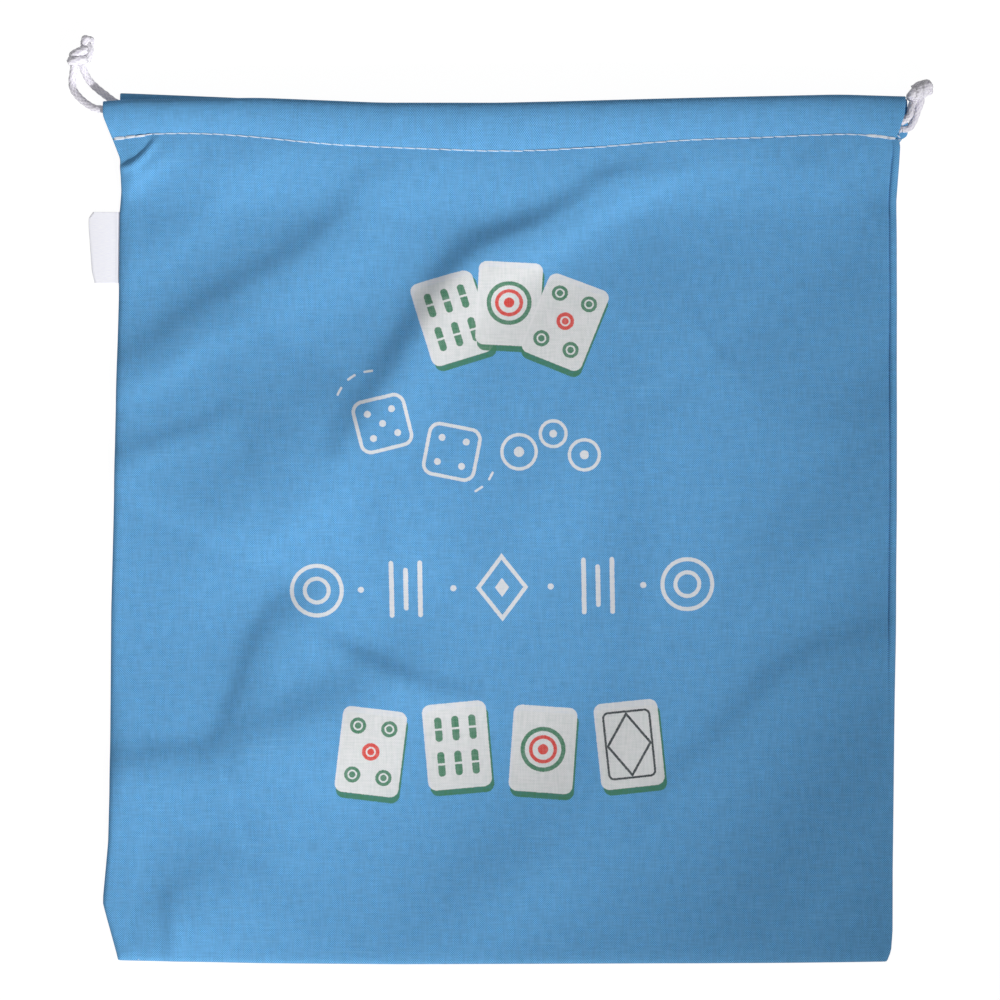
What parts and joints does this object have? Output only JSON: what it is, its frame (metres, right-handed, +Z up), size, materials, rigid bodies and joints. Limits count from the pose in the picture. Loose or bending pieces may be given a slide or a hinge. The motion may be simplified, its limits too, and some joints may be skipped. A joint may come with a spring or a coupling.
{
  "type": "drawstring storage bag",
  "caption": "Flat cloth drawstring bag for game tiles: two panels, a channel along each side of the mouth, two knotted drawcords and a blank care label.",
  "frame": {"origin": "middle of the back panel's flat underside, on which the bag lies", "axes": "+X to the bag's right, seen from above; +Y towards the mouth; +Z up, out of the printed front"},
  "size_m": [0.3652, 0.3937, 0.0159],
  "materials": {
    "bag_cloth": "matte",
    "cord": "matte",
    "thread": "satin",
    "label": "satin"
  },
  "bodies": {
    "bag": {"back_panel": "bag_cloth", "front_panel": "bag_cloth", "back_hem_turn": "bag_cloth", "front_hem_turn": "bag_cloth", "left_seam_allowance": "bag_cloth", "right_seam_allowance": "bag_cloth", "bottom_seam_allowance": "bag_cloth", "left_seam_stitching": "thread", "right_seam_stitching": "thread", "bottom_seam_stitching": "thread", "left_overlock": "thread", "right_overlock": "thread", "bottom_overlock": "thread", "front_hem_stitching": "thread", "back_hem_stitching": "thread", "front_left_backtack": "thread", "front_right_backtack": "thread", "left_slit_stitching": "thread", "right_slit_stitching": "thread", "care_label_root": "label", "left_front_strand": "cord", "left_back_strand": "cord"},
    "drawcord": {"front_cord": "cord", "back_cord": "cord", "right_front_strand": "cord", "right_back_strand": "cord", "right_knot": "cord", "right_cord_ends": "cord"},
    "left_pull": {"left_knot": "cord", "left_cord_ends": "cord"},
    "label": {"care_label": "label"}
  },
  "joints": [
    {"name": "drawcord_slide", "type": "slide", "parent": "bag", "child": "drawcord", "axis": [1, 0, 0], "range_m": [0, 0.012], "deforming": ["left_front_strand", "left_back_strand"]},
    {"name": "left_knot_draw", "type": "slide", "parent": "bag", "child": "left_pull", "axis": [0.5, -0.866, 0], "range_m": [0, 0.012]},
    {"name": "label_flip", "type": "hinge", "parent": "bag", "child": "label", "pos_m": [-0.16182, 0.119, 0.0008], "axis": [0, 1, 0], "range_deg": [0, 120]}
  ],
  "couplings": [
    {"joint": "left_knot_draw", "follows": "drawcord_slide", "ratio": 1}
  ]
}
